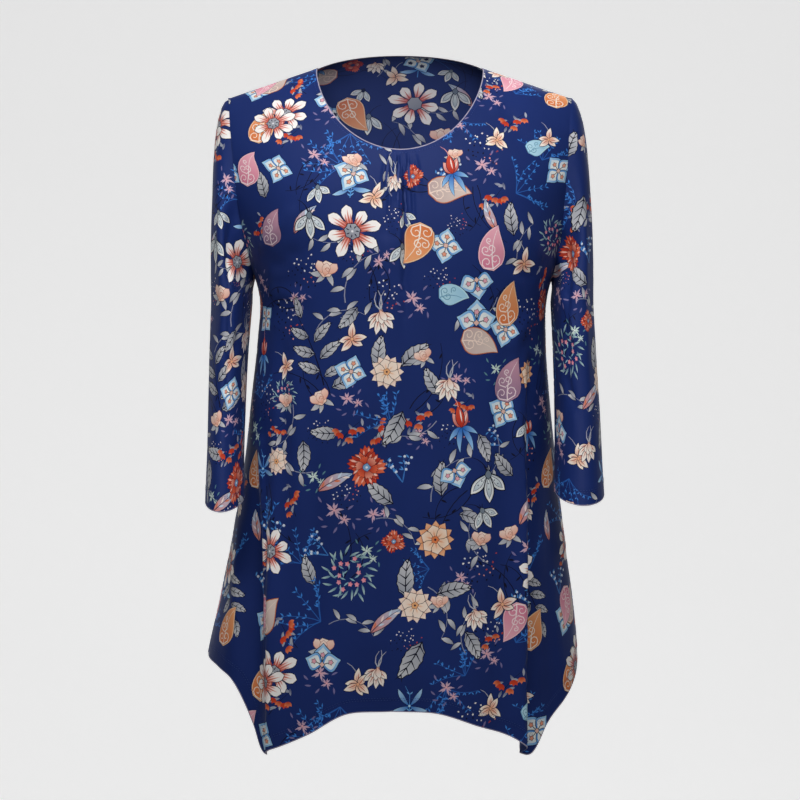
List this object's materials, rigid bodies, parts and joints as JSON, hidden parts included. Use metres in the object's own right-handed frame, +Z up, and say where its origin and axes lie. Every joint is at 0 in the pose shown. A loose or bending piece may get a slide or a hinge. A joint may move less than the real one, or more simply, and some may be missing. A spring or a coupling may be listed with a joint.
{
  "type": "tunic top",
  "caption": "Printed jersey tunic top with a scooped neck, set-in three-quarter sleeves and a flared handkerchief hem, hollow as if worn.",
  "frame": {"origin": "middle of the straight line between the two high shoulder points, where each shoulder seam meets the neckline", "axes": "+Z up along the garment's length, front of the garment facing -Y, the wearer's right side at -X"},
  "size_m": [0.4566, 0.255, 0.8022],
  "materials": {
    "printed_jersey_front": "matt printed knit with a faint sheen",
    "printed_jersey_back": "matt printed knit with a faint sheen",
    "printed_jersey_sleeves": "matt printed knit with a faint sheen"
  },
  "bodies": {
    "root": {"front": "printed_jersey_front", "back": "printed_jersey_back", "sleeve_left": "printed_jersey_sleeves", "sleeve_right": "printed_jersey_sleeves"}
  },
  "joints": []
}
